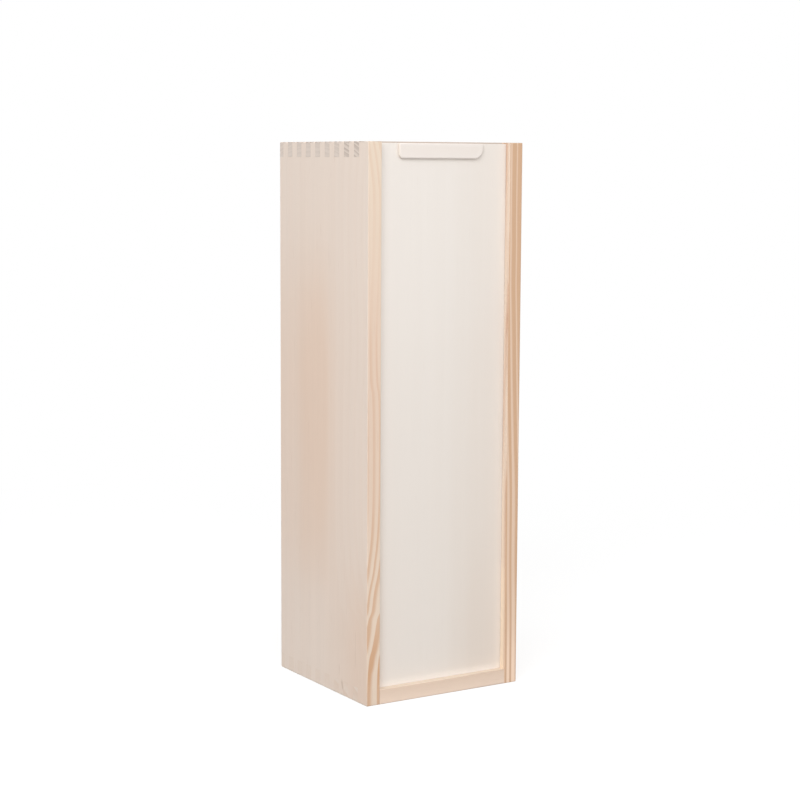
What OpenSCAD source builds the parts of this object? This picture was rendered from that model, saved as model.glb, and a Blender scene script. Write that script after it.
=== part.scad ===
/* [Box] */
// Width across the front, from the outside of one side board to the other
box_w = 114; // [100:1:140]
// Depth from the front edges to the back edges
box_d = 112; // [100:1:140]
// Height, which stands the bottle upright
box_h = 350; // [280:5:420]

/* [Boards] */
// Thickness of the left and right boards
side_t = 9.5; // [8:0.5:12]
// Thickness of the top and bottom boards
end_t = 9.5; // [8:0.5:12]
// How far the outer edges are eased with sandpaper after glue-up
edge_ease = 0.6; // [0.2:0.1:1.5]

/* [Comb joints] */
// Width of one finger, and of one gap between fingers
finger_w = 6; // [4:0.5:9]
// Plain length at the front of each side board, ahead of the first finger
comb_start = 11; // [10:0.5:18]
// Narrowest finger that is still cut at the back edge
finger_min = 2; // [1:0.5:4]
// Glue line on each face where two boards meet
glue_line = 0.05; // [0.02:0.01:0.1]

/* [Sliding lid] */
// Thickness of the lid
lid_t = 4; // [3:0.5:6]
// Thickness of the lip in front of the lid's groove
lip_t = 4.8; // [3:0.2:6]
// Depth of the lid's groove in each side board
lid_groove = 4.5; // [3:0.5:6]
// Depth of the groove in the bottom board, whose floor stops the lid
sill_groove = 4; // [2:0.5:5]
// Play of the lid on each face and each long edge
lid_play = 0.2; // [0.1:0.05:0.5]
// How far the closed lid stays below the top of the box
lid_drop = 0.8; // [0.2:0.1:2]

/* [Finger pull] */
// Length of the strip glued across the top of the lid
pull_w = 62; // [30:1:80]
// How far the strip is glued to the right of the middle, as seen from the front
pull_shift = -2; // [-3:0.5:3]
// Height of the strip
pull_h = 9.5; // [8:0.5:16]
// Thickness of the strip
pull_t = 2.2; // [2:0.1:4.5]
// Rounding of the strip's lower left corner
pull_r_left = 3; // [0.5:0.5:7]
// Rounding of the strip's lower right corner
pull_r_right = 6.5; // [0.5:0.5:7]

/* [Back panel] */
// Thickness of the back panel
back_t = 4; // [3:0.5:6]
// Depth of the panel's groove in the four boards
back_groove = 4; // [2:0.5:5]
// Width of the rim behind the panel
back_rim = 4.2; // [3:0.2:8]
// Play of the panel on each face and each edge
back_play = 0.1; // [0.05:0.05:0.4]

/* [Hidden] */
// Length by which a cutter passes a face that it goes through
past = 1;
// Number of facets named for a full circle
$fn = 64;

// Space between the side boards, and between the top and bottom boards
inner_w = box_w - 2 * side_t;
inner_h = box_h - 2 * end_t;

// Groove of the lid, measured back from the front edges
lid_slot = lid_t + 2 * lid_play;
lid_slot_end = lip_t + lid_slot;
// The lid reaches into both side grooves and down to the floor of the sill groove
lid_w = inner_w + 2 * (lid_groove - lid_play);
lid_z = end_t - sill_groove;
lid_h = box_h - lid_drop - lid_z;
lid_y = lip_t + lid_play;

// Groove of the back panel, measured back from the front edges
back_slot = back_t + 2 * back_play;
back_slot_y = box_d - back_rim - back_slot;
back_w = inner_w + 2 * (back_groove - back_play);
back_h = inner_h + 2 * (back_groove - back_play);

// Where each finger of the end boards starts, counted from the front
finger_starts = [for (y = comb_start; y < box_d - finger_min; y = y + 2 * finger_w) y];

// Everything is drawn from the lower left front corner, and moved so that the
// origin lies under the middle of the box
module in_place() {
    translate([-box_w / 2, -box_d / 2, 0])
        children();
}

// Rectangle with its four corners cut by the eased edge
module eased_outline(a, b) {
    e = edge_ease;
    polygon([[e, 0], [a - e, 0], [a, e], [a, b - e], [a - e, b], [e, b], [0, b - e], [0, e]]);
}

// The whole box as one block with all twelve outer edges eased, which trims each
// board as the sanding of the glued box does
module sanded_block() {
    intersection() {
        linear_extrude(box_h)
            eased_outline(box_w, box_d);
        translate([0, box_d, 0])
            rotate([90, 0, 0])
                linear_extrude(box_d)
                    eased_outline(box_w, box_h);
        rotate([90, 0, 90])
            linear_extrude(box_w)
                eased_outline(box_d, box_h);
    }
}

// One finger of an end board, widened by grow on the faces that meet a side board
module finger(start, length, grow) {
    stop = min(start + finger_w, box_d);
    tail = stop == box_d ? past : grow;
    translate([-past, start - grow, -past])
        cube([length + 2 * past, stop - start + grow + tail, end_t + past + grow]);
}

// Gaps that the fingers of the bottom board need in a side board
module finger_gaps() {
    for (start = finger_starts)
        finger(start, side_t, glue_line);
}

// Side board drawn as the left one, with its inner face towards +X
module side_board() {
    intersection() {
        sanded_block();
        difference() {
            cube([side_t, box_d, box_h]);
            finger_gaps();
            translate([0, 0, box_h])
                mirror([0, 0, 1])
                    finger_gaps();
            translate([side_t - lid_groove, lip_t, -past])
                cube([lid_groove + past, lid_slot, box_h + 2 * past]);
            translate([side_t - back_groove, back_slot_y, -past])
                cube([back_groove + past, back_slot, box_h + 2 * past]);
        }
    }
}

// Groove for the back panel along an end board whose inner face is at z = end_t
module end_back_groove() {
    translate([side_t - back_groove, back_slot_y, end_t - back_groove])
        cube([inner_w + 2 * back_groove, back_slot, back_groove + past]);
}

// End board lying on z = 0, from the depth front to the back edge
module end_board(front) {
    difference() {
        union() {
            translate([side_t + glue_line, front, 0])
                cube([inner_w - 2 * glue_line, box_d - front, end_t]);
            for (start = finger_starts)
                translate([0, start, 0])
                    cube([box_w, min(finger_w, box_d - start), end_t]);
        }
        end_back_groove();
    }
}

module left_side() {
    color([0.87, 0.79, 0.73])
        in_place()
            side_board();
}

module right_side() {
    color([0.89, 0.80, 0.71])
        mirror([1, 0, 0])
            in_place()
                side_board();
}

module top_board() {
    color([0.81, 0.75, 0.71])
        in_place()
            intersection() {
                sanded_block();
                translate([0, 0, box_h])
                    mirror([0, 0, 1])
                        end_board(lid_slot_end);
            }
}

module bottom_board() {
    color([0.86, 0.77, 0.69])
        in_place()
            intersection() {
                sanded_block();
                difference() {
                    end_board(0);
                    translate([side_t - lid_groove, lip_t, lid_z])
                        cube([inner_w + 2 * lid_groove, lid_slot, sill_groove + past]);
                }
            }
}

module back_panel() {
    color([0.85, 0.76, 0.66])
        in_place()
            translate([(box_w - back_w) / 2, back_slot_y + back_play, (box_h - back_h) / 2])
                cube([back_w, back_t, back_h]);
}

module lid_panel() {
    color([0.92, 0.89, 0.85])
        in_place()
            translate([(box_w - lid_w) / 2, lid_y, lid_z])
                cube([lid_w, lid_t, lid_h]);
}

// Waste outside a rounded lower left corner of radius r
module corner_waste(r) {
    difference() {
        translate([-past, -past])
            square(r + past);
        translate([r, r])
            circle(r);
    }
}

module pull_outline() {
    difference() {
        square([pull_w, pull_h]);
        corner_waste(pull_r_left);
        translate([pull_w, 0])
            mirror([1, 0])
                corner_waste(pull_r_right);
    }
}

module lid_pull() {
    color([0.94, 0.91, 0.87])
        in_place()
            translate([(box_w - pull_w) / 2 + pull_shift, lid_y, lid_z + lid_h - pull_h])
                rotate([90, 0, 0])
                    linear_extrude(pull_t)
                        pull_outline();
}

left_side();
right_side();
top_board();
bottom_board();
back_panel();
lid_panel();
lid_pull();
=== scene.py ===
# %% [markdown]
# # An upright wooden wine box
# The box is made of planed softwood boards with comb joints at the corners, and
# has a pale lid that slides up and out. This lesson dresses the exact solids of
# the box with real-looking wood: boards that a node tree saws and ploughs, edges
# eased as sandpaper does it, and grain that runs through each board in three
# dimensions, so that faces, edges and end grain agree with each other.

# %% Load the frame
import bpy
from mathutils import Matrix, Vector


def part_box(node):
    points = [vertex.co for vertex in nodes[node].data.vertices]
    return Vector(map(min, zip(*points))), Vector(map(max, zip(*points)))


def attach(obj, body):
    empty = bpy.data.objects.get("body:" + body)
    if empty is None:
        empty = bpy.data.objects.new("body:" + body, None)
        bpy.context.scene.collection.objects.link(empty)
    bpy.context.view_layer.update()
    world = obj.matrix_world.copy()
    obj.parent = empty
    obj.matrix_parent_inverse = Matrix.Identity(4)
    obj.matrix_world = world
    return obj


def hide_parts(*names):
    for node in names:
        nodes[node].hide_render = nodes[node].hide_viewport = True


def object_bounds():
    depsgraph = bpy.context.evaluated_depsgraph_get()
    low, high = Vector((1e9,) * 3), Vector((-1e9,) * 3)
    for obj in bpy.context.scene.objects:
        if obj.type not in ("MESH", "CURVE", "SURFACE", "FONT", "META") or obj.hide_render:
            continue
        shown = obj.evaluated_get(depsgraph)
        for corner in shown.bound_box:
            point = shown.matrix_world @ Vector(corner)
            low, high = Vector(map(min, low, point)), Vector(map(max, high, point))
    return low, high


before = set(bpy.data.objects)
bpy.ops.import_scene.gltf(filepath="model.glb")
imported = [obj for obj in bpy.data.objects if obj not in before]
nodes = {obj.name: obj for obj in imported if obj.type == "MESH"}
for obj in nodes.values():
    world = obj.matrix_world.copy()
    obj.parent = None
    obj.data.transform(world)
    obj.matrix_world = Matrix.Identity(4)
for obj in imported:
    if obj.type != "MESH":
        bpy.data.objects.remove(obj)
low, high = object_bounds()

import math

import bmesh
import bpy
from mathutils import Matrix, Vector

scene = bpy.context.scene
print("nodes:", sorted(nodes))

# %% [markdown]
# ## Measures
# Everything is in metres. The large sizes come from the solids themselves, so
# that a change there is followed here. Only what can't be read from a piece's
# corner points, such as the pitch of the comb, is written down again.

# %% Measures
MM = 0.001

width = high.x - low.x
depth = high.y - low.y
height = high.z - low.z
front = low.y

side_low, side_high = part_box("left_side")
end_low, end_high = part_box("bottom_board")
top_low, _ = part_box("top_board")
lid_low, lid_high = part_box("lid_panel")
back_low, back_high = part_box("back_panel")

side_t = side_high.x - side_low.x
end_t = end_high.z - end_low.z
half_inside = width / 2 - side_t

finger_w = 6 * MM
comb_start = 11 * MM
glue_line = 0.05 * MM
lid_play = 0.2 * MM
back_play = 0.1 * MM

print(f"box {width:.3f} x {depth:.3f} x {height:.3f}, boards {side_t:.4f} and {end_t:.4f}")

# %% [markdown]
# ## Camera
# The camera stands to the left of the box's front, a little over a metre away and
# just below the height of its top, with a long lens, as in a product photograph.
# Its place and angles come from lining up the corners of the box with those in
# the picture, which is 800 pixels wide.

# %% Camera
picture_px = 800
focal_px = 1904
sensor_mm = 36
eye = Vector((-0.652, -1.0465, 0.3382))
yaw = math.radians(31.975)
pitch = math.radians(-7.155)
roll = math.radians(0.29)


def camera_matrix():
    """Turns yaw, pitch and roll into the camera's place and axes."""
    level = math.cos(pitch)
    forward = Vector((math.sin(yaw) * level, math.cos(yaw) * level, math.sin(pitch)))
    right = Vector((math.cos(yaw), -math.sin(yaw), 0))
    up = right.cross(forward)
    rolled_right = right * math.cos(roll) + up * math.sin(roll)
    rolled_up = up * math.cos(roll) - right * math.sin(roll)
    turn = Matrix((rolled_right, rolled_up, -forward)).transposed()
    return Matrix.Translation(eye) @ turn.to_4x4()


camera_data = bpy.data.cameras.new("camera")
camera_data.sensor_width = sensor_mm
camera_data.lens = sensor_mm * focal_px / picture_px
camera = bpy.data.objects.new("camera", camera_data)
camera.matrix_world = camera_matrix()
scene.collection.objects.link(camera)
scene.camera = camera
print(f"lens {camera_data.lens:.1f} mm")

# %% [markdown]
# ## Wiring helpers
# Node trees for shaders and for geometry could be wired line by line, which is
# long and easy to get wrong. Here they are built with the same few helpers: one
# adds a node and feeds its inputs, and the others are the sums that a maker
# would do on paper.

# %% Wiring helpers
def feed(tree, socket, value):
    """Links another node's output to a socket, or sets the socket's own value."""
    if isinstance(value, bpy.types.NodeSocket):
        tree.links.new(value, socket)
    else:
        socket.default_value = value


def add(tree, kind, inputs=None, **settings):
    """Adds a node, sets its options, and feeds the inputs given by name or place."""
    node = tree.nodes.new(kind)
    for name, value in settings.items():
        setattr(node, name, value)
    for key, value in (inputs or {}).items():
        feed(tree, node.inputs[key], value)
    return node


def work(tree, operation, *values):
    """One sum on plain numbers."""
    node = add(tree, "ShaderNodeMath", dict(enumerate(values)), operation=operation)
    return node.outputs[0]


def plus(tree, first, second):
    """The first number plus the second."""
    return work(tree, "ADD", first, second)


def minus(tree, first, second):
    """The first number less the second."""
    return work(tree, "SUBTRACT", first, second)


def times(tree, first, second):
    """The first number multiplied by the second."""
    return work(tree, "MULTIPLY", first, second)


def over(tree, first, second):
    """The first number divided by the second."""
    return work(tree, "DIVIDE", first, second)


print("sums:", [helper.__name__ for helper in (plus, minus, times, over)])

# %% [markdown]
# ## Ramps, vectors and groups
# A ramp fades one thing into another without a hard line. A group is a node
# tree with named inputs and outputs, built once and placed wherever its effect is
# needed.

# %% Ramps, vectors and groups
NUMBER = "NodeSocketFloat"
VECTOR = "NodeSocketVector"
MESH = "NodeSocketGeometry"
SWITCH = "NodeSocketBool"
MATERIAL = "NodeSocketMaterial"


def ramp(tree, value, start, end, low_value=0.0, high_value=1.0):
    """Goes smoothly from one value to another while the input goes from start to end."""
    node = add(
        tree,
        "ShaderNodeMapRange",
        {0: value, 1: start, 2: end, 3: low_value, 4: high_value},
        interpolation_type="SMOOTHSTEP",
    )
    return node.outputs[0]


def between(tree, share, first, second):
    """A number that lies a share of the way from the first to the second."""
    return add(tree, "ShaderNodeMix", {0: share, 2: first, 3: second}).outputs[0]


def parts_of(tree, vector):
    """The X, Y and Z of a vector."""
    return tuple(add(tree, "ShaderNodeSeparateXYZ", {0: vector}).outputs)


def as_vector(tree, x=0.0, y=0.0, z=0.0):
    """A vector from its X, Y and Z."""
    return add(tree, "ShaderNodeCombineXYZ", {0: x, 1: y, 2: z}).outputs[0]


def new_group(kind, name, inputs, outputs):
    """Starts a node group. Inputs are name: (socket type, value), outputs name: socket type."""
    tree = bpy.data.node_groups.new(name, kind)
    for title, (socket_type, value) in inputs.items():
        socket = tree.interface.new_socket(name=title, in_out="INPUT", socket_type=socket_type)
        if value is not None:
            socket.default_value = value
    for title, socket_type in outputs.items():
        tree.interface.new_socket(name=title, in_out="OUTPUT", socket_type=socket_type)
    given = tree.nodes.new("NodeGroupInput").outputs
    result = tree.nodes.new("NodeGroupOutput").inputs
    return tree, given, result


print("kinds of socket:", [NUMBER, VECTOR, MESH, SWITCH, MATERIAL])

# %% [markdown]
# ## Growth rings
# A board is a slice out of a log, so its lines are the log's rings cut by the
# board's faces. An image would show lines on each face that don't meet at the
# edges. Here the rings are worked out in space instead: the distance from the
# log's pith, which runs along the board, is divided by the width of a ring. Each
# ring turns from pale early wood to dark late wood and then stops sharply. Slow
# noise makes the rings wavy and their widths uneven, and the tone tells one
# year's line from the next.

# %% Growth rings
swell_squeeze = (22, 22, 5)
swell_detail = 2.0
width_change = 0.8
noise_middle = 0.5
winter = 0.92


def squeezed_noise(tree, position, squeeze, inputs):
    """Noise whose place is first squeezed by a factor along each axis."""
    place = add(tree, "ShaderNodeVectorMath", {0: position, 1: squeeze}, operation="MULTIPLY")
    return add(tree, "ShaderNodeTexNoise", {"Vector": place.outputs[0], **inputs}).outputs[0]


def growth_rings():
    """Group: late wood from 0 to 1 at a point whose Z runs along the board."""
    tree, given, result = new_group(
        "ShaderNodeTree",
        "growth rings",
        {
            "Position": (VECTOR, None),
            "Pith X": (NUMBER, 0.0),
            "Pith Y": (NUMBER, 0.0),
            "Ring width": (NUMBER, 4 * MM),
            "Bend": (NUMBER, 0.0),
            "Years": (NUMBER, 0.0),
            "Wave": (NUMBER, 1 * MM),
            "Unevenness": (NUMBER, 1.0),
            "Late start": (NUMBER, 0.2),
            "Late full": (NUMBER, 0.86),
        },
        {"Late wood": NUMBER, "Tone": NUMBER},
    )
    x, y, _ = parts_of(tree, given["Position"])
    from_pith_x = minus(tree, minus(tree, x, given["Bend"]), given["Pith X"])
    from_pith_y = minus(tree, y, given["Pith Y"])
    squares = [work(tree, "POWER", leg, 2.0) for leg in (from_pith_x, from_pith_y)]
    radius = work(tree, "SQRT", plus(tree, *squares))

    inputs = {"Scale": 1.0, "Detail": swell_detail}
    swell = squeezed_noise(tree, given["Position"], swell_squeeze, inputs)
    shift = times(tree, minus(tree, swell, noise_middle), times(tree, given["Wave"], 2.0))
    count = over(tree, plus(tree, radius, shift), given["Ring width"])
    count = plus(tree, count, given["Years"])

    inputs = {"W": times(tree, count, width_change), "Scale": 1.0}
    change = add(tree, "ShaderNodeTexNoise", inputs, noise_dimensions="1D").outputs[0]
    uneven = times(tree, minus(tree, change, noise_middle), given["Unevenness"])
    uneven = plus(tree, count, uneven)
    year = work(tree, "FLOOR", uneven)
    season = minus(tree, uneven, year)
    growing = ramp(tree, season, given["Late start"], given["Late full"])
    stopping = ramp(tree, season, winter, 1.0, 1.0, 0.0)
    feed(tree, result["Late wood"], times(tree, growing, stopping))
    tone = add(tree, "ShaderNodeTexWhiteNoise", {"W": year}, noise_dimensions="1D")
    feed(tree, result["Tone"], tone.outputs[0])
    return tree


rings_group = growth_rings()
print("growth rings:", len(rings_group.nodes), "nodes")

# %% [markdown]
# ## Fibres, streaks, clouds and resin flecks
# Between the rings, softwood has fibres a fraction of a millimetre across and a
# few centimetres long, wider streaks, slow clouds of lighter and darker wood, and
# short brown flecks where resin canals are cut open. Each could be a picture of
# its own, but all are the same noise, squeezed across the board and stretched
# along it by different amounts.

# %% Fibres, streaks, clouds and resin flecks
# Waves per metre across and along the board, and detail
fibre_noises = {
    "broad": (420, 9, 3.0),
    "fine": (1900, 45, 2.0),
    "fleck": (1100, 60, 1.0),
    "streak": (120, 3, 3.0),
    "cloud": (16, 7, 3.0),
}
fibre_roughness = 0.6
broad_share = 0.55
fine_share = 0.45
fleck_range = (0.68, 0.76)


def wood_fibres():
    """Group: fibres, flecks, streaks and clouds along Z, each from 0 to 1."""
    tree, given, result = new_group(
        "ShaderNodeTree",
        "wood fibres",
        {"Position": (VECTOR, None), "Fineness": (NUMBER, 1.0)},
        {"Fibre": NUMBER, "Fleck": NUMBER, "Streak": NUMBER, "Cloud": NUMBER},
    )
    noise = {}
    for kind, (across, along, detail) in fibre_noises.items():
        inputs = {"Scale": given["Fineness"], "Detail": detail, "Roughness": fibre_roughness}
        noise[kind] = squeezed_noise(tree, given["Position"], (across, across, along), inputs)
    broad = times(tree, noise["broad"], broad_share)
    fine = times(tree, noise["fine"], fine_share)
    feed(tree, result["Fibre"], plus(tree, broad, fine))
    feed(tree, result["Fleck"], ramp(tree, noise["fleck"], *fleck_range))
    feed(tree, result["Streak"], noise["streak"])
    feed(tree, result["Cloud"], noise["cloud"])
    return tree


fibres_group = wood_fibres()
print("wood fibres:", len(fibres_group.nodes), "nodes")

# %% [markdown]
# ## Shaded, sanded edges
# The outer edges of the glued box are rubbed down with sandpaper, so they are a
# little smoother than the faces. They are also drawn a little darker than the
# faces, as painted shade on the rounded edges. The pointiness of a mesh could tell
# where they are, but it depends on how finely the mesh is divided. Here the
# nearness to an edge follows from the box's size: near an edge, a point is close
# to two of the box's outer planes at once, so the middle one of its three
# distances to those planes is small.

# %% Shaded, sanded edges
ragged_scale = 90.0
ragged_detail = 3.0
ragged_least = 0.5


def edge_shade_and_polish():
    """Group: 1 on the box's outer edges, fading to 0 within the reach."""
    tree, given, result = new_group(
        "ShaderNodeTree",
        "edge shade and polish",
        {
            "Position": (VECTOR, None),
            "Half width": (NUMBER, width / 2),
            "Half depth": (NUMBER, depth / 2),
            "Height": (NUMBER, height),
            "Reach": (NUMBER, 1.6 * MM),
        },
        {"Edge": NUMBER},
    )
    x, y, z = parts_of(tree, given["Position"])
    to_side = minus(tree, given["Half width"], work(tree, "ABSOLUTE", x))
    to_face = minus(tree, given["Half depth"], work(tree, "ABSOLUTE", y))
    to_end = work(tree, "MINIMUM", z, minus(tree, given["Height"], z))
    smaller = work(tree, "MINIMUM", to_side, to_face)
    larger = work(tree, "MAXIMUM", to_side, to_face)
    middle = work(tree, "MAXIMUM", smaller, work(tree, "MINIMUM", larger, to_end))
    inputs = {"Vector": given["Position"], "Scale": ragged_scale, "Detail": ragged_detail}
    patches = add(tree, "ShaderNodeTexNoise", inputs).outputs[0]
    ragged = times(tree, given["Reach"], plus(tree, patches, ragged_least))
    feed(tree, result["Edge"], ramp(tree, middle, 0.0, ragged, 1.0, 0.0))
    return tree


edge_shade_group = edge_shade_and_polish()
print("edge shade and polish:", len(edge_shade_group.nodes), "nodes")

# %% [markdown]
# ## Colours from a screen
# Colours are written as a painter reads them from a screen, with red, green and
# blue from 0 to 255, because that is how a photograph shows them. The renderer
# counts light instead, so each is turned into the light that it stands for.

# %% Colours from a screen
def linear(part):
    """One part of a screen colour as its share of white's light, by the screen's formula."""
    share = part / 255
    if share <= 0.04045:
        return share / 12.92
    return ((share + 0.055) / 1.055) ** 2.4


def shade(red, green, blue):
    """A screen colour made linear for the renderer."""
    return (linear(red), linear(green), linear(blue), 1.0)


def mixed(tree, factor, first, second, blend="MIX"):
    """Mixes two colours by a factor."""
    node = add(tree, "ShaderNodeMix", {"Factor": factor}, data_type="RGBA", blend_type=blend)
    feed(tree, node.inputs[6], first)
    feed(tree, node.inputs[7], second)
    return node.outputs[2]


print(f"middle grey on a screen is {linear(128):.2f} of white's light")

# %% [markdown]
# ## Drawn curves
# What changes along a board, such as how far its lines bend or how strongly they
# show, could be left to noise, but then no line would lie where the real board
# has it. So it is a smooth curve through a few given points: the first number of
# each is a place in millimetres, and the second is the value there.

# %% Drawn curves
def drawn_curve(tree, value, points):
    """A smooth curve through a few given points, each a pair of input and output."""
    first, last = points[0][0], points[-1][0]
    lowest = min(point[1] for point in points)
    rise = max(point[1] for point in points) - lowest
    share = over(tree, minus(tree, value, first), last - first)
    node = add(tree, "ShaderNodeFloatCurve", {"Value": share})
    node.mapping.extend = "HORIZONTAL"
    curve = node.mapping.curves[0]
    while len(curve.points) < len(points):
        curve.points.new(0.5, 0.5)
    for point, (given, wanted) in zip(curve.points, points):
        point.location = ((given - first) / (last - first), (wanted - lowest) / rise)
    node.mapping.update()
    return plus(tree, times(tree, node.outputs[0], rise), lowest)


def as_drawn(tree, value, wanted):
    """A plain number stays as it is, and a list of points becomes a curve over the value."""
    return drawn_curve(tree, value, wanted) if isinstance(wanted, list) else wanted


print("a plain number stays as it is:", as_drawn(None, None, 0.5))

# %% [markdown]
# ## Where a point lies on its board
# The grain of the side boards, the lid and the back runs up, and that of the end
# boards and the pull runs across, so a point's place is turned until its Z runs
# along the grain. Its normal tells a wide face from a narrow edge and from end
# grain. Object coordinates are used for all of this, because they stay with the
# piece when it moves.

# %% Where a point lies on its board
square_on = (0.6, 0.8)


def spots(tree, look):
    """Places of a point, in metres or, from "along" on, in millimetres or as shares."""
    coordinates = add(tree, "ShaderNodeTexCoord")
    place = coordinates.outputs["Object"]
    x, y, z = parts_of(tree, place)
    grain_place = as_vector(tree, y, z, x) if look["grain"] == "X" else place
    sideways, _, lengthways = parts_of(tree, grain_place)
    facing = dict(zip("XYZ", parts_of(tree, coordinates.outputs["Normal"])))
    behind = over(tree, minus(tree, y, front), MM)
    from_left = over(tree, minus(tree, x, low.x), MM)
    return {
        "place": place,
        "grain place": grain_place,
        "sideways": sideways,
        "along": over(tree, lengthways, MM),
        "behind": behind,
        "across": from_left if look["face"] == "Y" else behind,
        "near front": ramp(tree, y, front, front + look["bend_reach"], 1.0, 0.0),
        "on end": ramp(tree, work(tree, "ABSOLUTE", facing[look["grain"]]), *square_on),
        "on face": ramp(tree, work(tree, "ABSOLUTE", facing[look["face"]]), *square_on),
    }


print(f"a face counts as square on from {square_on[0]} to {square_on[1]} of its normal")

# %% [markdown]
# ## Lines in the wood
# The growth lines are strong on the narrow edges, where the rings are cut
# steeply, softer on end grain and almost gone on the wide faces. Near the front
# edges they also follow a drawn bend, because that is where the real board's
# lines are seen best. Further back they run straight.

# %% Lines in the wood
def ring_lines(tree, look, at):
    """The growth rings at a point: late wood from 0 to 1, and the tone of that year."""
    bend = times(tree, as_drawn(tree, at["along"], look["bend"]), at["near front"])
    bend = times(tree, bend, MM)
    straight = over(tree, minus(tree, at["sideways"], bend), MM)
    inputs = {
        "Position": at["grain place"],
        "Pith X": look["pith"][0],
        "Pith Y": look["pith"][1],
        "Ring width": look["ring_width"],
        "Bend": bend,
        "Years": as_drawn(tree, straight, look["years"]),
        "Wave": look["wave"],
        "Unevenness": look["unevenness"],
        "Late start": as_drawn(tree, at["along"], look["late_start"]),
        "Late full": as_drawn(tree, at["along"], look["late_full"]),
    }
    return add(tree, "ShaderNodeGroup", inputs, node_tree=rings_group).outputs


def line_strength(tree, look, at, rings):
    """How strongly a growth line shows at a point."""
    edge_lines = as_drawn(tree, at["along"], look["edge_lines"])
    end_lines = as_drawn(tree, at["behind"], look["end_lines"])
    on_long_sides = between(tree, at["on face"], edge_lines, look["face_lines"])
    strength = between(tree, at["on end"], on_long_sides, end_lines)
    tone = plus(tree, 1.0, times(tree, rings["Tone"], -look["tones"]))
    return times(tree, times(tree, rings["Late wood"], tone), strength)


print("ring inputs:", len(rings_group.interface.items_tree) - 2)

# %% [markdown]
# ## Colour of the wood
# Under the lines lies the colour of early wood. A wide face has warmer patches,
# which fade in and out along and across the board, and a few small marks. An
# edge has its own colour, warmer where the curve says so, and another further
# back than the photograph sees. End grain drinks light and is darker. Clouds,
# fibres and streaks then make all of it a little lighter and darker.

# %% Colour of the wood
mottled_least = 0.6
mottled_rise = 0.8


def painted(tree, at, areas):
    """How far a face is covered: each area has a curve along, a curve across, and a middle."""
    total = 0.0
    for along_points, across_points, middle in areas:
        beside = minus(tree, at["across"], as_drawn(tree, at["along"], middle))
        along = as_drawn(tree, at["along"], along_points)
        total = plus(tree, total, times(tree, along, as_drawn(tree, beside, across_points)))
    return total


def early_wood(tree, look, at, cloud):
    """The colour between the lines, on a face, an edge or end grain."""
    edge_warmth = as_drawn(tree, at["along"], look["edge_warmth"])
    edge = mixed(tree, edge_warmth, look["edge"], look["edge_warm"])
    edge = mixed(tree, at["near front"], look["edge_back"], edge)
    mottled = plus(tree, mottled_least, times(tree, cloud, mottled_rise))
    warmth = times(tree, painted(tree, at, look["patches"]), mottled)
    face = mixed(tree, warmth, look["board"], look["board_warm"])
    face = mixed(tree, painted(tree, at, look["marks"]), face, look["mark"])
    colour = mixed(tree, at["on face"], edge, face)
    return mixed(tree, at["on end"], colour, look["end"])


def around_one(tree, noise, amount):
    """Noise turned into a factor that swings around 1 by an amount."""
    return plus(tree, 1.0, times(tree, minus(tree, noise, noise_middle), amount))


def brightness(tree, look, fibres, shaded_and_polished_edge):
    """Clouds, fibres and streaks as one factor, lowered on the outer edges as painted shade."""
    cloud = around_one(tree, fibres["Cloud"], look["clouds"])
    fibre = around_one(tree, fibres["Fibre"], look["fibres"])
    streak = around_one(tree, fibres["Streak"], look["streaks"])
    level = times(tree, times(tree, cloud, fibre), streak)
    return times(tree, level, minus(tree, 1.0, times(tree, shaded_and_polished_edge, look["edge_shade"])))


print(f"patches are mottled from {mottled_least:.1f} to {mottled_least + mottled_rise:.1f}")

# %% [markdown]
# ## The wood material
# Each piece gets its own material, because each was cut from another place in a
# log. All are made by one function from the groups above, and differ in a short
# list of values. Planed, unvarnished wood is matt. Late wood is denser and a worn
# edge is rubbed, so both are a little smoother, and fibres and late wood stand up
# from the surface by a few hundredths of a millimetre.

# %% The wood material
plain_roughness = 0.66
late_polish = 0.08
worn_polish = 0.1
fibre_height = 0.6
late_height = 0.4
bump_strength = 0.5
gloss = 0.25


def wood(name, look):
    """Makes one wood material from a dictionary of values."""
    material = bpy.data.materials.new(name)
    material.use_nodes = True
    tree = material.node_tree
    tree.nodes.clear()
    at = spots(tree, look)
    rings = ring_lines(tree, look, at)
    grain = {"Position": at["grain place"]}
    fibres = add(tree, "ShaderNodeGroup", grain, node_tree=fibres_group).outputs
    shaded_and_polished_edge = add(tree, "ShaderNodeGroup", {"Position": at["place"]}, node_tree=edge_shade_group).outputs["Edge"]

    lines = line_strength(tree, look, at, rings)
    late_wood = mixed(tree, at["on end"], look["late"], look["end_late"])
    colour = mixed(tree, lines, early_wood(tree, look, at, fibres["Cloud"]), late_wood)
    level = brightness(tree, look, fibres, shaded_and_polished_edge)
    colour = mixed(tree, 1.0, colour, as_vector(tree, level, level, level), "MULTIPLY")
    colour = mixed(tree, times(tree, fibres["Fleck"], look["flecks"]), colour, look["fleck"])

    roughness = minus(tree, plain_roughness, times(tree, lines, late_polish))
    roughness = minus(tree, roughness, times(tree, shaded_and_polished_edge, worn_polish))
    fibre_relief = times(tree, fibres["Fibre"], fibre_height)
    relief = plus(tree, fibre_relief, times(tree, rings["Late wood"], late_height))
    inputs = {"Height": relief, "Strength": bump_strength, "Distance": look["relief"]}
    bump = add(tree, "ShaderNodeBump", inputs)
    surface = add(
        tree,
        "ShaderNodeBsdfPrincipled",
        {
            "Base Color": colour,
            "Roughness": roughness,
            "Normal": bump.outputs[0],
            "Specular IOR Level": gloss,
        },
    )
    output = add(tree, "ShaderNodeOutputMaterial")
    tree.links.new(surface.outputs[0], output.inputs[0])
    return material


print(f"roughness from {plain_roughness - late_polish - worn_polish:.2f} to {plain_roughness}")

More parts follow.
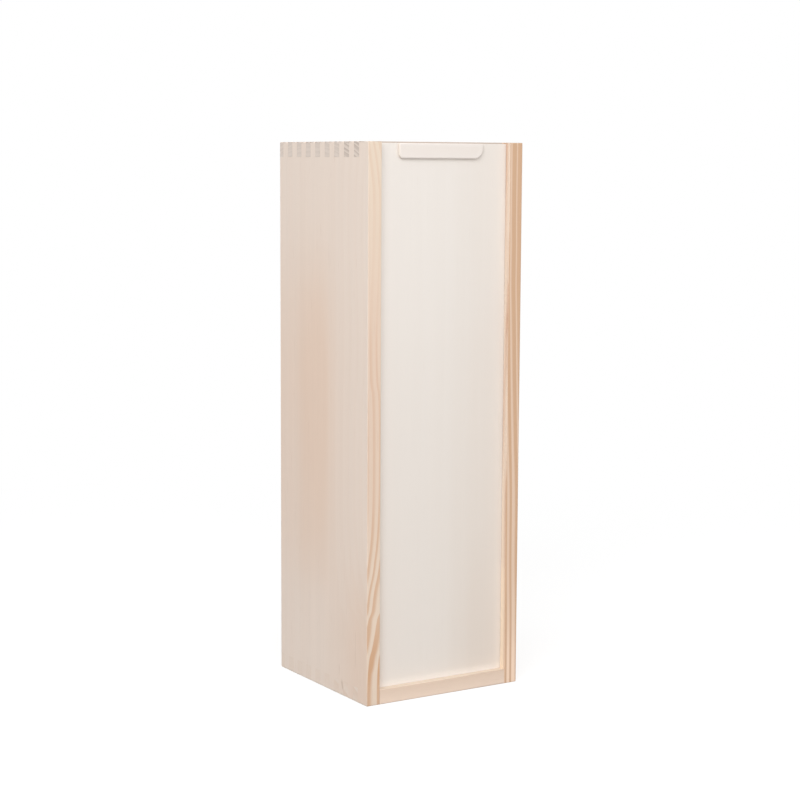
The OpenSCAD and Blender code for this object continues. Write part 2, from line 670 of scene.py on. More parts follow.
# %% [markdown]
# ## Pine to start from
# The seven pieces are of three woods: pine for the boards, thin plywood for the
# back, and a pale, even wood such as lime for the lid and its pull. Seven full
# lists of values would repeat most of them, so one list of pine's values comes
# first, and each piece then changes only what is its own. It starts with the axis
# that the grain runs along and the axis that the wide faces look along. Then come
# the colours of edges, wide faces, marks, late wood and end grain, the shape of
# the rings, how strongly the lines show, how far the brightness swings, and the
# relief. Lengths are in metres, and the points of curves are in millimetres.

# %% Pine to start from
softwood = {
    "grain": "Z",
    "face": "X",
    "edge": shade(237, 208, 186),
    "edge_warm": shade(234, 209, 189),
    "edge_warmth": 0.0,
    "edge_back": shade(237, 214, 194),
    "board": shade(243, 227, 214),
    "board_warm": shade(240, 215, 196),
    "patches": [],
    "mark": shade(206, 184, 165),
    "marks": [],
    "late": shade(216, 172, 136),
    "end": shade(218, 206, 194),
    "end_late": shade(190, 174, 160),
    "fleck": shade(176, 128, 90),
    "ring_width": 4.6 * MM,
    "bend": 0.0,
    "bend_reach": 50 * MM,
    "years": 0.0,
    "wave": 1.2 * MM,
    "unevenness": 1.0,
    "late_start": 0.2,
    "late_full": 0.86,
    "tones": 0.3,
    "edge_lines": 0.85,
    "face_lines": 0.05,
    "end_lines": 0.3,
    "clouds": 0.04,
    "streaks": 0.06,
    "fibres": 0.06,
    "flecks": 0.08,
    # Painted shade: the outer edges are drawn a little darker than the faces.
    "edge_shade": 0.03,
    "relief": 0.06 * MM,
}
print("values of one wood:", len(softwood))

# %% [markdown]
# ## The left side board
# It is flat-sawn: its wide face is almost plain, with a warm patch halfway up and
# another low at the front, and its narrow front edge shows three or four orange
# lines that swing to one side below the middle. The curves over the height give
# that swing and how strong the lines are. Three short marks sit near its foot: a
# slanting line, which is painted shade in a small tear-out at a finger's corner,
# and two fine scratches.

# %% The left side board
left_bend = [
    (0, -9.5), (13, -9.5), (28, -8.4), (36, -6.3), (45, -4.3), (55, -2.4), (61, 0.0), (70, 1.2),
    (90, 5.2), (120, 8.0), (150, 8.4), (193, 7.9), (205, 6.4), (230, 5.8), (254, 6.5), (294, 8.0),
    (317, 8.0), (328, 7.0), (350, 3.3),
]
left_years = [(-61, -0.07), (-57, -0.27), (-53, -0.55), (-46.5, -0.36), (-39.5, -0.12)]
left_lines = [
    (0, 0.8), (12, 0.85), (22, 1.0), (50, 0.75), (110, 0.65), (135, 0.45), (220, 0.35),
    (250, 0.12), (300, 0.12), (325, 0.2), (350, 0.22),
]
left_warmth = [(0, 0.3), (60, 0.35), (110, 0.7), (170, 1.0), (220, 1.0), (280, 0.5), (350, 0.0)]
middle_patch = (
    [
        (0, 0.0), (45, 0.1), (80, 0.55), (130, 0.9), (190, 1.0), (235, 0.8), (275, 0.35),
        (305, 0.1), (350, 0.0),
    ],
    [(0, 0.2), (25, 0.2), (45, 0.55), (60, 1.1), (72, 1.1), (85, 0.85), (97, 0.6), (112, 0.55)],
    0.0,
)
low_front_patch = (
    [(0, 0.7), (30, 0.8), (50, 0.7), (80, 0.25), (105, 0.0), (350, 0.0)],
    [(0, 1.0), (12, 0.9), (28, 0.5), (45, 0.2), (60, 0.0), (112, 0.0)],
    0.0,
)
scratch_across = [(-4, 0.0), (-1, 0.0), (0, 1.0), (1, 0.0), (4, 0.0)]
# Painted shade in a small tear-out at a finger's corner near the foot.
tear_out_shade = (
    [(0, 0.0), (2.5, 0.1), (4.5, 0.5), (8, 0.65), (9.5, 0.4), (10.5, 0.0), (350, 0.0)],
    [(-4, 0.0), (-1.8, 0.0), (0, 1.0), (1.4, 0.0), (4, 0.0)],
    [(0, 21.0), (10, 31.0), (20, 31.0), (350, 31.0)],
)
long_scratch = (
    [(0, 0.0), (20, 0.0), (25, 0.2), (42, 0.2), (48, 0.0), (350, 0.0)],
    scratch_across,
    14.2,
)
short_scratch = (
    [(0, 0.0), (12, 0.05), (18, 0.25), (20, 0.0), (350, 0.0)],
    scratch_across,
    34.2,
)
left_look = {
    **softwood,
    "pith": (0.042, 0.004),
    "bend": left_bend,
    "years": left_years,
    "wave": 0.3 * MM,
    "unevenness": 0.0,
    "late_start": [(0, 0.35), (20, 0.3), (33, 0.15), (50, 0.2), (65, 0.3), (350, 0.3)],
    "late_full": [(0, 0.8), (20, 0.75), (33, 0.55), (50, 0.6), (65, 0.75), (350, 0.75)],
    "tones": 0.15,
    "edge": shade(239, 220, 200),
    "edge_warmth": left_warmth,
    "edge_lines": left_lines,
    "face_lines": 0.03,
    "patches": [middle_patch, low_front_patch],
    "marks": [tear_out_shade, long_scratch, short_scratch],
}
print("left board's lines swing by", max(left_bend, key=lambda point: point[1])[1], "mm at most")

# %% [markdown]
# ## The right side board
# Its front edge has almost straight orange lines, closer together than the left
# board's. What shows of its wide face is the inner side of the lip, a strip under
# 5 mm wide beside the lid, where darker lines come and go. A flat colour there
# would make the lip look like card, so three bands are painted on the strip, two
# of them with a middle that wanders. The top band is partly such a line and partly
# painted shade in the corner where the lip meets the lid. The lower part of the
# strip is drawn lighter, as painted light.

# %% The right side board
right_bend = [
    (0, 4.8), (41, 4.7), (81, 4.0), (121, 3.8), (140, 3.4), (161, 2.7), (186, 1.9), (211, 1.2),
    (237, 0.5), (250, 0.1), (262, -0.2), (285, -0.2), (301, -0.4), (350, -0.4),
]
right_years = [(40, 0.21), (46, 0.21), (47.6, 0.33), (49.5, 0.21), (57, 0.21)]
right_lines = [(0, 0.9), (50, 0.95), (110, 1.0), (350, 1.0)]
right_warmth = [(0, 0.0), (14, 0.05), (28, 0.35), (50, 0.75), (90, 1.0), (350, 1.0)]
# Painted light: the lower part of the lip's inner side is drawn lighter.
lit_low_lip = (
    [(0, 1.0), (60, 1.0), (85, 0.4), (130, 0.2), (150, 0.0), (350, 0.0)],
    [(0, 1.0), (5, 1.0), (8, 0.0), (112, 0.0)],
    0.0,
)
# Partly a darker line, partly painted shade in the corner where the lip meets the lid.
top_line_and_corner_shade = (
    [(0, 0.0), (262, 0.0), (280, 0.15), (300, 0.3), (314, 0.4), (325, 0.6), (350, 0.85)],
    [(-3.6, 0.0), (-2.3, 0.2), (-1.3, 0.5), (-0.4, 1.0), (0.8, 1.0), (2, 0.5)],
    4.3,
)
middle_band = (
    [
        (0, 0.0), (120, 0.0), (150, 0.35), (190, 0.5), (220, 0.45), (240, 0.75), (256, 0.75),
        (266, 0.3), (285, 0.25), (300, 0.0), (350, 0.0),
    ],
    [(-2.0, 0.0), (-1, 0.5), (0, 1.0), (1, 0.75), (2.1, 0.2), (3, 0.0)],
    [
        (120, 5.2), (150, 4.4), (165, 4.0), (190, 3.4), (220, 2.6), (235, 1.6), (250, 0.6),
        (262, 0.4), (350, 0.4),
    ],
)
low_band = (
    [
        (0, 0.5), (30, 0.8), (60, 0.75), (90, 0.8), (120, 0.85), (135, 0.6), (150, 0.1),
        (180, 0.0), (200, 0.2), (215, 0.5), (232, 0.5), (250, 0.0), (350, 0.0),
    ],
    [(-1, 1.0), (0, 1.0), (1, 0.7), (2, 0.3), (3.2, 0.0), (5, 0.0)],
    [(0, -0.9), (60, -0.6), (90, 0.0), (120, 0.2), (350, 0.2)],
)
right_look = {
    **softwood,
    "pith": (-0.050, -0.012),
    "ring_width": 3.76 * MM,
    "bend": right_bend,
    "years": right_years,
    "wave": 0.3 * MM,
    "unevenness": 0.0,
    "late_start": [
        (0, 0.4), (40, 0.35), (80, 0.3), (120, 0.3), (160, 0.15), (250, 0.0), (350, 0.0),
    ],
    "late_full": [(0, 0.75), (60, 0.65), (120, 0.6), (160, 0.45), (350, 0.3)],
    "tones": 0.1,
    "late": shade(215, 176, 143),
    "edge": shade(253, 224, 200),
    "edge_warm": shade(234, 205, 181),
    "edge_warmth": right_warmth,
    "edge_lines": right_lines,
    "board": shade(239, 220, 202),
    # The lighter colour of the painted light on the lower lip.
    "board_warm": shade(253, 232, 208),
    "patches": [lit_low_lip],
    "mark": shade(214, 176, 150),
    "marks": [top_line_and_corner_shade, middle_band, low_band],
}
print("bands on the right lip:", len(right_look["marks"]))

# %% [markdown]
# ## The top and bottom boards
# These are the same pine lying across, so their grain runs along X and their
# fingers show end grain on the box's sides. At the top the fingers are grey with
# clear rings in the two nearest the front. At the bottom they are almost the
# colour of the side board, so the comb there is hardly seen.

# %% The top and bottom boards
top_look = {
    **softwood,
    "grain": "X",
    "face": "Z",
    "pith": (0.012, 0.226),
    "ring_width": 2.7 * MM,
    # Painted shade: the top board's edges are drawn darker than the others, and its front edge, a thin
    # line above the lid, is grey.
    "edge_shade": 0.12,
    "edge": shade(198, 186, 177),
    "edge_lines": 0.2,
    "end": shade(231, 217, 206),
    "end_late": shade(176, 158, 144),
    "end_lines": [(0, 0.5), (28, 0.55), (35, 0.2), (112, 0.15)],
}
bottom_look = {
    **softwood,
    "grain": "X",
    "face": "Z",
    "pith": (0.010, -0.090),
    "ring_width": 9.5 * MM,
    "years": 0.28,
    "wave": 0.6 * MM,
    "unevenness": 0.0,
    "late_start": 0.1,
    "late_full": 0.9,
    "late": shade(212, 184, 160),
    "edge": shade(245, 222, 203),
    "board": shade(234, 217, 199),
    "edge_lines": 0.33,
    "end": shade(241, 224, 210),
    "end_late": shade(226, 196, 172),
    "end_lines": [(0, 0.5), (30, 0.4), (60, 0.05), (112, 0.0)],
}
print("end boards take", len(bottom_look), "values each")

# %% [markdown]
# ## The back panel
# The back isn't in the photograph. It is taken as thin plywood, whose face veneer
# is peeled off the log like paper off a roll, so its figure is wide and wavy.

# %% The back panel
back_look = {
    **softwood,
    "face": "Y",
    "pith": (0.010, 0.020),
    "ring_width": 6 * MM,
    "wave": 9 * MM,
    "edge_back": shade(214, 186, 152),
    "board": shade(232, 210, 184),
    "face_lines": 0.3,
}
print("back lines at", back_look["face_lines"], "of full strength")

# %% [markdown]
# ## The lid and the pull
# The lid is pale and even, and a little warmer towards its foot. Painted shade
# makes it a little darker and warmer towards its right side, most low down, and
# browner along the lower half of its left edge, where the lip's shade falls. The
# pull is a strip of the same wood with its grain across. Both have almost no
# lines. What makes them look like wood is faint: on the lid a warmth towards its
# foot, and on both a little unevenness from fibres and clouds.

# %% The lid and the pull
warm_foot = (
    [(0, 0.0), (11, 0.0), (15, 0.35), (100, 0.35), (200, 0.25), (260, 0.1), (350, 0.0)],
    1.0,
    0.0,
)
# Painted shade: darker and warmer towards the lid's right side, most near its foot.
shaded_right_side = (
    [
        (0, 0.0), (10, 0.1), (16, 0.6), (60, 0.5), (120, 0.35), (220, 0.3), (300, 0.25),
        (350, 0.25),
    ],
    [
        (0, 0.0), (55, 0.0), (66, 0.3), (76, 0.65), (87, 1.0), (97, 0.85), (99.5, 0.65),
        (102, 0.2), (104.5, 0.0), (114, 0.0),
    ],
    0.0,
)
# Painted shade: the left lip's shade on the lower half of the lid's left edge.
lip_shade_on_lid = (
    [(0, 0.22), (60, 0.2), (140, 0.05), (180, 0.0), (350, 0.0)],
    [(0, 1.0), (9.5, 1.0), (14, 0.5), (19, 0.0), (114, 0.0)],
    0.0,
)
lid_look = {
    **softwood,
    "face": "Y",
    "pith": (-0.060, 0.090),
    "ring_width": 7 * MM,
    "wave": 3 * MM,
    "edge": shade(242, 233, 226),
    "board": shade(243, 236, 229),
    # Used for the warmer foot and for the painted shade towards the right side.
    "board_warm": shade(233, 221, 210),
    "patches": [warm_foot, shaded_right_side],
    # The colour of the painted lip shade along the lid's left edge.
    "mark": shade(224, 203, 183),
    "marks": [lip_shade_on_lid],
    "late": shade(229, 216, 201),
    "end": shade(232, 222, 212),
    "edge_lines": 0.25,
    "face_lines": 0.03,
    "end_lines": 0.2,
    "clouds": 0.025,
    "streaks": 0.02,
    "fibres": 0.03,
    "flecks": 0.03,
    "relief": 0.03 * MM,
}
pull_look = {
    **softwood,
    "grain": "X",
    "face": "Y",
    "pith": (0.050, 0.300),
    "ring_width": 6 * MM,
    "wave": 2 * MM,
    "edge": shade(244, 235, 228),
    "board": shade(244, 235, 228),
    "late": shade(228, 214, 196),
    "end": shade(243, 234, 224),
    "end_late": shade(216, 200, 186),
    "edge_lines": 0.25,
    "face_lines": 0.1,
    "end_lines": 0.2,
    "clouds": 0.02,
    "streaks": 0.02,
    "fibres": 0.03,
    "flecks": 0.02,
    "relief": 0.03 * MM,
}
print(f"lid lines at {lid_look['face_lines']} and pull lines at {pull_look['face_lines']}")

# %% [markdown]
# ## Seven materials
# One material for each piece, named for its wood and its place. Two boards could
# share one, but then both would look sawn from one log, with the same bends.

# %% Seven materials
woods = {
    "left_side": wood("pine left side", left_look),
    "right_side": wood("pine right side", right_look),
    "top_board": wood("pine top", top_look),
    "bottom_board": wood("pine bottom", bottom_look),
    "back_panel": wood("plywood back", back_look),
    "lid_panel": wood("lime lid", lid_look),
    "lid_pull": wood("lime pull", pull_look),
}
print("materials:", [material.name for material in woods.values()])

# %% [markdown]
# ## The comb's layout
# The four boards are one design at two lengths: a flat slab whose two ends are
# cut into fingers, with grooves ploughed into its inner face. Fingers could be
# modelled one by one, but they follow a rule, so a geometry node tree lays them
# out. It starts from a grid of three columns of cells: the long middle one is the
# board, and the short ones at its ends are the combs. First each corner of the
# grid is moved to its place, and every second cell of the combs is marked.

# %% The comb's layout
columns_of_points = 4


def grid_place(tree, index, size):
    """Column and row of a grid's point or cell, from its number."""
    column = work(tree, "FLOOR", over(tree, index, size))
    return column, minus(tree, index, times(tree, column, size))


def comb_points(tree, given, rows):
    """Where each corner of the grid lies along the board and behind its front edge."""
    index = add(tree, "GeometryNodeInputIndex").outputs[0]
    column, row = grid_place(tree, index, rows)
    sign = minus(tree, times(tree, work(tree, "GREATER_THAN", column, 1.5), 2.0), 1.0)
    past_first = work(tree, "GREATER_THAN", column, 0.5)
    is_root = times(tree, past_first, work(tree, "LESS_THAN", column, 2.5))
    root = plus(tree, given["Finger length"], given["Glue line"])
    reach = minus(tree, times(tree, given["Length"], 0.5), times(tree, is_root, root))
    along = times(tree, sign, reach)

    odd_row = work(tree, "MODULO", row, 2.0)
    slack = times(tree, minus(tree, 1.0, times(tree, odd_row, 2.0)), given["Glue line"])
    slack = times(tree, slack, given["First cell stays"])
    steps = times(tree, minus(tree, row, 1.0), given["Finger width"])
    cut = plus(tree, plus(tree, given["Comb start"], steps), slack)
    cut = work(tree, "MINIMUM", cut, given["Depth"])
    is_first = work(tree, "LESS_THAN", row, 0.5)
    at_front = times(tree, is_first, given["Front edge"])
    behind = plus(tree, at_front, times(tree, minus(tree, 1.0, is_first), cut))
    return as_vector(tree, along, behind, 0.0)


def comb_gaps(tree, given, cells):
    """1 on every second cell of the two end columns, and 0 elsewhere."""
    index = add(tree, "GeometryNodeInputIndex").outputs[0]
    column, row = grid_place(tree, index, cells)
    off_middle = work(tree, "ABSOLUTE", minus(tree, column, 1.0))
    in_a_comb = work(tree, "GREATER_THAN", off_middle, 0.5)
    parity = work(tree, "MODULO", plus(tree, row, given["First cell stays"]), 2.0)
    return times(tree, in_a_comb, work(tree, "LESS_THAN", parity, 0.5))


print("columns of cells:", columns_of_points - 1)

# %% [markdown]
# ## Thickness and grooves
# The combed sheet is raised to the board's thickness and closed underneath. Two
# long cutters then plough its inner face, as a saw or a plough plane does: one
# for the lid, and one for the back panel. The lid's groove runs out at both ends.
# The panel's groove runs through the side boards, but in the end boards it is
# stopped inside the side boards' grooves, so that it doesn't show on a finger.

# %% Thickness and grooves
same_point = 0.001 * MM
cutter_past = 1 * MM
run_out = 4 * MM


def thick_slab(tree, given, sheet):
    """Gives the combed sheet the board's thickness and closes its underside."""
    inputs = {"Mesh": sheet, "Offset": as_vector(tree, z=given["Thickness"]), "Individual": False}
    raised = add(tree, "GeometryNodeExtrudeMesh", inputs)
    under = add(tree, "GeometryNodeFlipFaces", {"Mesh": sheet})
    shell = add(tree, "GeometryNodeJoinGeometry")
    tree.links.new(raised.outputs[0], shell.inputs[0])
    tree.links.new(under.outputs[0], shell.inputs[0])
    inputs = {"Geometry": shell.outputs[0], "Distance": same_point}
    return add(tree, "GeometryNodeMergeByDistance", inputs).outputs[0]


def groove_cutter(tree, given, groove, long):
    """A long block that ploughs one groove into the board's inner face."""
    start = given[f"{groove} start"]
    wide = given[f"{groove} width"]
    deep = given[f"{groove} depth"]
    size = as_vector(tree, long, wide, plus(tree, deep, cutter_past))
    block = add(tree, "GeometryNodeMeshCube", {"Size": size}).outputs[0]
    middle = plus(tree, start, times(tree, wide, 0.5))
    rise = times(tree, minus(tree, cutter_past, deep), 0.5)
    place = as_vector(tree, y=middle, z=plus(tree, given["Thickness"], rise))
    inputs = {"Geometry": block, "Translation": place}
    return add(tree, "GeometryNodeTransform", inputs).outputs[0]


def ploughed_board(tree, given, slab):
    """Takes the panel's groove, and the lid's where it is wanted, out of the slab."""
    whole_length = plus(tree, given["Length"], run_out)
    lid_cutter = groove_cutter(tree, given, "Lid groove", whole_length)
    panel_cutter = groove_cutter(tree, given, "Panel groove", given["Panel groove length"])
    inputs = {"Switch": given["Lid groove"], "True": lid_cutter}
    wanted = add(tree, "GeometryNodeSwitch", inputs, input_type="GEOMETRY")
    board = add(tree, "GeometryNodeMeshBoolean", {0: slab}, operation="DIFFERENCE", solver="EXACT")
    tree.links.new(panel_cutter, board.inputs[1])
    tree.links.new(wanted.outputs[0], board.inputs[1])
    return board.outputs[0]


print(f"a cutter stands {cutter_past / MM:.0f} mm past the face that it ploughs")

# %% [markdown]
# ## A board with combs
# The whole tree: the grid, the combs, the slab and the grooves, and last the
# board is moved out from the box's middle and turned about the box's depth axis.
# Turned by quarters of a circle, the same tree gives the bottom, the left side,
# the top and the right side. It ends in real geometry with a material, because
# an exported model keeps no instances.

# %% A board with combs
def comb_board():
    """Geometry tree: a ploughed board with combs on both ends, turned into its place."""
    tree, given, result = new_group(
        "GeometryNodeTree",
        "comb board",
        {
            "Geometry": (MESH, None),
            "Length": (NUMBER, height),
            "Depth": (NUMBER, depth),
            "Thickness": (NUMBER, side_t),
            "Finger length": (NUMBER, end_t),
            "Finger width": (NUMBER, finger_w),
            "Comb start": (NUMBER, comb_start),
            "First cell stays": (NUMBER, 1.0),
            "Glue line": (NUMBER, 0.0),
            "Front edge": (NUMBER, 0.0),
            "Lid groove": (SWITCH, True),
            "Lid groove start": (NUMBER, 5 * MM),
            "Lid groove width": (NUMBER, 4 * MM),
            "Lid groove depth": (NUMBER, 4 * MM),
            "Panel groove start": (NUMBER, 100 * MM),
            "Panel groove width": (NUMBER, 4 * MM),
            "Panel groove depth": (NUMBER, 4 * MM),
            "Panel groove length": (NUMBER, height),
            "Distance": (NUMBER, width / 2),
            "Turn": (NUMBER, 0.0),
            "Material": (MATERIAL, None),
        },
        {"Geometry": MESH},
    )
    behind_start = minus(tree, given["Depth"], given["Comb start"])
    cells = plus(tree, work(tree, "CEIL", over(tree, behind_start, given["Finger width"])), 1.0)
    rows = plus(tree, cells, 1.0)
    inputs = {"Vertices X": columns_of_points, "Vertices Y": rows}
    grid = add(tree, "GeometryNodeMeshGrid", inputs).outputs[0]
    inputs = {"Geometry": grid, "Position": comb_points(tree, given, rows)}
    laid = add(tree, "GeometryNodeSetPosition", inputs).outputs[0]
    inputs = {"Geometry": laid, "Selection": comb_gaps(tree, given, cells)}
    combed = add(tree, "GeometryNodeDeleteGeometry", inputs, domain="FACE").outputs[0]
    board = ploughed_board(tree, given, thick_slab(tree, given, combed))

    to_middle = times(tree, given["Depth"], -0.5)
    outward = as_vector(tree, y=to_middle, z=times(tree, given["Distance"], -1.0))
    inputs = {"Geometry": board, "Translation": outward}
    moved = add(tree, "GeometryNodeTransform", inputs).outputs[0]
    inputs = {
        "Geometry": moved,
        "Rotation": as_vector(tree, y=given["Turn"]),
        "Translation": as_vector(tree, z=height / 2),
    }
    turned = add(tree, "GeometryNodeTransform", inputs).outputs[0]
    real = add(tree, "GeometryNodeRealizeInstances", {"Geometry": turned}).outputs[0]
    inputs = {"Geometry": real, "Material": given["Material"]}
    dressed = add(tree, "GeometryNodeSetMaterial", inputs).outputs[0]
    tree.links.new(dressed, result["Geometry"])
    return tree


comb_tree = comb_board()
print("comb board:", len(comb_tree.nodes), "nodes")

# %% [markdown]
# ## From tree to plain mesh
# The tree runs as a modifier on an object whose own mesh is empty. Its inputs are
# set by each socket's identifier, and the result is copied out as a plain mesh,
# because a live modifier would be worked out anew wherever the piece is used.

# %% From tree to plain mesh
def grow(name, tree, values):
    """Runs a tree with the given values and returns the result as a plain object."""
    piece = bpy.data.objects.new(name, bpy.data.meshes.new(name))
    scene.collection.objects.link(piece)
    modifier = piece.modifiers.new(tree.name, "NODES")
    modifier.node_group = tree
    for item in tree.interface.items_tree:
        if item.in_out == "INPUT" and item.name in values:
            modifier[item.identifier] = values[item.name]
    graph = bpy.context.evaluated_depsgraph_get()
    mesh = bpy.data.meshes.new_from_object(piece.evaluated_get(graph), depsgraph=graph)
    piece.modifiers.clear()
    piece.data = mesh
    mesh.name = name
    mesh.materials.clear()
    mesh.materials.append(values["Material"])
    for polygon in mesh.polygons:
        polygon.material_index = 0
    return piece


print("tree inputs:", len([item for item in comb_tree.interface.items_tree if item.in_out == "INPUT"]))

# %% [markdown]
# ## Where the grooves lie
# This follows from the lid and the back panel: each groove is as wide as what
# slides in it and its play, and as deep as that reaches in. So it is measured on
# their solids, and not written down again.

# %% Where the grooves lie
lid_start = lid_low.y - front - lid_play
lid_slot = lid_high.y - lid_low.y + 2 * lid_play
lid_in_side = lid_high.x - half_inside + lid_play
lid_in_sill = end_t - lid_low.z
panel_start = back_low.y - front - back_play
panel_slot = back_high.y - back_low.y + 2 * back_play
panel_in_side = back_high.x - half_inside + back_play
print(f"lid slot at {lid_start:.4f}, {lid_slot:.4f} wide")
print(f"panel slot at {panel_start:.4f}, {panel_slot:.4f} wide")

# %% [markdown]
# ## Four boards
# The side boards and the end boards are two kinds of one design. The end boards
# have fingers where the side boards have gaps, so their first cell goes where the
# side boards' stays. The top board has no lid groove and starts behind the lid,
# so that the lid can pass.

# %% Four boards
quarter = math.pi / 2

both_kinds = {
    "Glue line": glue_line,
    "Lid groove start": lid_start,
    "Lid groove width": lid_slot,
    "Panel groove start": panel_start,
    "Panel groove width": panel_slot,
    "Panel groove depth": panel_in_side,
}
side_board = {
    **both_kinds,
    "Length": height,
    "Thickness": side_t,
    "Finger length": end_t,
    "First cell stays": 1.0,
    "Lid groove depth": lid_in_side,
    "Panel groove length": height + run_out,
    "Distance": width / 2,
}
end_board = {
    **both_kinds,
    "Length": width,
    "Thickness": end_t,
    "Finger length": side_t,
    "First cell stays": 0.0,
    "Lid groove depth": lid_in_sill,
    "Panel groove length": width - 2 * side_t + 2 * panel_in_side,
    "Distance": height / 2,
}
top_front = top_low.y - front
board_plans = {
    "bottom_board": {**end_board, "Turn": 0.0},
    "left_side": {**side_board, "Turn": quarter},
    "top_board": {**end_board, "Turn": 2 * quarter, "Lid groove": False, "Front edge": top_front},
    "right_side": {**side_board, "Turn": -quarter},
}
boards = {}
for node_name, plan in board_plans.items():
    boards[node_name] = grow(f"board_{node_name}", comb_tree, {**plan, "Material": woods[node_name]})
    data = boards[node_name].data
    print(node_name, len(data.vertices), "vertices,", len(data.polygons), "faces")

# %% [markdown]
# ## Which edges are sanded
# After glue-up the outer edges of the whole box are eased together, so the
# rounding runs on from a side board's fingers to an end board's. The edges to
# round are found by where they lie, and not picked by hand: an edge belongs to
# the outside when both its ends lie on the same two outer planes. The long front
# edges around the lid are found in the same way.

# %% Which edges are sanded
on_plane = 0.01 * MM


def planes_through(point):
    """The outer planes of the box that a point lies on."""
    found = set()
    for axis in range(3):
        if abs(point[axis] - low[axis]) < on_plane:
            found.add((axis, "low"))
        if abs(point[axis] - high[axis]) < on_plane:
            found.add((axis, "high"))
    return found


def is_outer(edge):
    """True where an edge lies on two outer planes of the box."""
    first, second = (planes_through(vertex.co) for vertex in edge.verts)
    return len(first & second) >= 2


def is_lip(edge):
    """True on the long front edges that frame the lid."""
    on_front = all(abs(vertex.co.y - front) < on_plane for vertex in edge.verts)
    on_side = all(abs(abs(vertex.co.x) - half_inside) < on_plane for vertex in edge.verts)
    on_rail = all(abs(vertex.co.z - end_t) < on_plane for vertex in edge.verts)
    return on_front and (on_side or on_rail)


print(f"a point lies on a plane within {on_plane / MM} mm")

# %% [markdown]
# ## Sanding
# Left to itself, a Bevel modifier would round every sharp edge alike, also where
# two boards meet in the comb, so bmesh rounds only the chosen ones. The outer
# edges get a visible rounding, and the edges around the lid are only touched with
# fine paper.

# %% Sanding
edge_ease = 0.6 * MM
lip_ease = 0.3 * MM
rounding_steps = 3
round_profile = 0.5


def round_edges(piece, chosen, radius):
    """Rounds the chosen edges of a piece and shades only the rounding smooth."""
    shape = bmesh.new()
    shape.from_mesh(piece.data)
    edges = [edge for edge in shape.edges if chosen(edge)]
    made = bmesh.ops.bevel(
        shape,
        geom=edges,
        offset=radius,
        segments=rounding_steps,
        profile=round_profile,
        affect="EDGES",
    )
    for face in made["faces"]:
        face.smooth = True
    shape.to_mesh(piece.data)
    shape.free()
    return len(edges)


for node_name, board in boards.items():
    outer_edges = round_edges(board, is_outer, edge_ease)
    lip_edges = round_edges(board, is_lip, lip_ease)
    print(node_name, outer_edges, "outer edges,", lip_edges, "lip edges")

# %% [markdown]
# ## Lid, pull and back panel
# These are sheets and a small strip whose solids already have the right shape.
# Modelling them again could only make them differ. Each is a merged copy of its
# solid with its edges broken lightly, as a planer and a rub with fine paper leave
# them. The pull's are rounded most, because fingers catch under it.

# %% Lid, pull and back panel
sheet_ease = {"lid_panel": 0.3 * MM, "lid_pull": 0.8 * MM, "back_panel": 0.2 * MM}
flat_angle = math.radians(1)
sharp_angle = math.radians(40)


def copy_solid(node_name, material):
    """Copies a node's solid as a clean mesh with whole faces."""
    shape = bmesh.new()
    shape.from_mesh(nodes[node_name].data)
    bmesh.ops.remove_doubles(shape, verts=shape.verts, dist=same_point)
    bmesh.ops.dissolve_limit(shape, angle_limit=flat_angle, verts=shape.verts, edges=shape.edges)
    mesh = bpy.data.meshes.new(f"sheet_{node_name}")
    shape.to_mesh(mesh)
    shape.free()
    mesh.materials.append(material)
    piece = bpy.data.objects.new(f"sheet_{node_name}", mesh)
    scene.collection.objects.link(piece)
    return piece


def is_sharp(edge):
    """True where two faces meet at a clear angle."""
    return len(edge.link_faces) == 2 and edge.calc_face_angle() > sharp_angle


sheets = {}
for node_name, radius in sheet_ease.items():
    sheets[node_name] = copy_solid(node_name, woods[node_name])
    count = round_edges(sheets[node_name], is_sharp, radius)
    print(node_name, count, "edges rounded")

# %% [markdown]
# ## Riding
# Each piece rides on the body that its solid belongs to and stands in for that
# solid, which is hidden. The lid and its pull slide together, and everything else
# stays with the box.

# %% Riding
for node_name, piece in {**boards, **sheets}.items():
    body = "lid" if node_name.startswith("lid") else "box"
    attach(piece, body)
    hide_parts(node_name)

# %% [markdown]
# ## Floor and background
# The box stands on a plain white floor in front of white. A lamp strong enough to
# make them white would bleach the box, so they glow instead, but only for rays
# that come straight from the camera or from a mirror or glass. Towards the box
# they send the modest light of a grey studio, so that its own colours stay true.
# Near the box the floor is part glow and part matt grey, and keeps the shadow.

# %% Floor and background
WHITE = (1, 1, 1, 1)
floor_half = 12.0
floor_grey = (0.4, 0.4, 0.4, 1)
floor_glow = 0.7
shadow_reach = (0.3, 0.8)
studio_light = 0.6


def seen_directly(tree):
    """1 for rays from the camera or by way of a mirror or glass, and 0 for light."""
    path = add(tree, "ShaderNodeLightPath")
    seen = work(tree, "MAXIMUM", path.outputs["Is Camera Ray"], path.outputs["Is Glossy Ray"])
    return work(tree, "MAXIMUM", seen, path.outputs["Is Transmission Ray"])


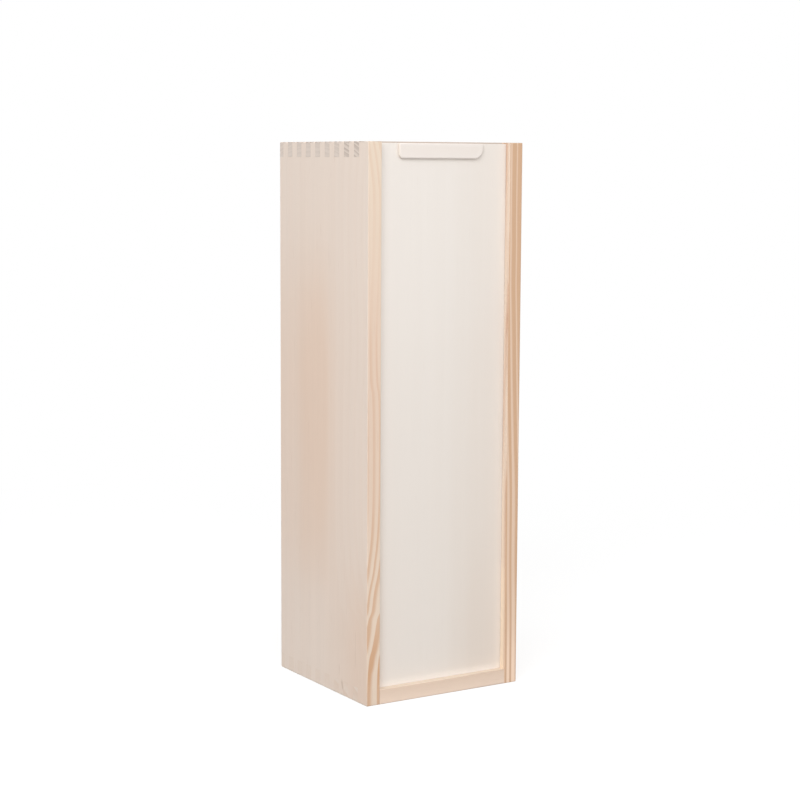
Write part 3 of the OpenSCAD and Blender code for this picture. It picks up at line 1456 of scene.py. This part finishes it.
def floor_white():
    """White to the camera, matt grey to the box, with the shadow kept near the middle."""
    material = bpy.data.materials.new("floor white")
    material.use_nodes = True
    tree = material.node_tree
    tree.nodes.clear()
    seen = seen_directly(tree)
    matt = add(tree, "ShaderNodeBsdfDiffuse", {"Color": floor_grey}).outputs[0]
    inputs = {"Color": WHITE, "Strength": times(tree, seen, floor_glow)}
    glow = add(tree, "ShaderNodeEmission", inputs).outputs[0]
    near = add(tree, "ShaderNodeAddShader", {0: matt, 1: glow}).outputs[0]
    white = add(tree, "ShaderNodeEmission", {"Color": WHITE, "Strength": 1.0}).outputs[0]
    place = add(tree, "ShaderNodeTexCoord").outputs["Object"]
    away = add(tree, "ShaderNodeVectorMath", {0: place}, operation="LENGTH").outputs["Value"]
    far = times(tree, ramp(tree, away, *shadow_reach), seen)
    shown = add(tree, "ShaderNodeMixShader", {0: far, 1: near, 2: white}).outputs[0]
    tree.links.new(shown, add(tree, "ShaderNodeOutputMaterial").inputs[0])
    return material


def floor():
    """A wide white floor that still takes the shadow."""
    mesh = bpy.data.meshes.new("floor")
    corners = [(-1, -1), (1, -1), (1, 1), (-1, 1)]
    mesh.from_pydata([(x * floor_half, y * floor_half, 0) for x, y in corners], [], [(0, 1, 2, 3)])
    mesh.materials.append(floor_white())
    piece = bpy.data.objects.new("floor", mesh)
    scene.collection.objects.link(piece)


floor()

world = bpy.data.worlds.new("studio")
world.use_nodes = True
scene.world = world
sky = world.node_tree
sky.nodes.clear()
strength = between(sky, seen_directly(sky), studio_light, 1.0)
background = add(sky, "ShaderNodeBackground", {"Color": WHITE, "Strength": strength})
sky.links.new(background.outputs[0], add(sky, "ShaderNodeOutputWorld").inputs[0])
print("floor", 2 * floor_half, "m wide, world light", studio_light)

# %% [markdown]
# ## Lamps
# Three wide, soft lamps light the box, as in a small studio: the key from the
# upper left front, a weaker fill from the right, and one on the left side. A
# single lamp would leave either the front or the side dull. Wide lamps are used
# because small ones would draw hard shadows under the pull and the lips.

# %% Lamps
# Place in metres, width in metres, power in watts
lamps = {
    "key": ((-0.8, -1.0, 1.0), 1.0, 11.6),
    "fill": ((0.6, -1.3, 0.4), 1.2, 3.8),
    "side": ((-1.5, 0.0, 1.0), 0.9, 3.2),
}
middle_of_box = Vector((0, 0, height / 2))


def lamp(name, place, size, power):
    """A square soft light that looks at the middle of the box."""
    data = bpy.data.lights.new(name, "AREA")
    data.shape = "SQUARE"
    data.size = size
    data.energy = power
    piece = bpy.data.objects.new(name, data)
    turn = (middle_of_box - Vector(place)).to_track_quat("-Z", "Y")
    piece.matrix_world = Matrix.Translation(Vector(place)) @ turn.to_matrix().to_4x4()
    piece.visible_camera = False
    scene.collection.objects.link(piece)


for name, (place, size, power) in lamps.items():
    lamp(name, place, size, power)

scene.view_settings.view_transform = "Standard"
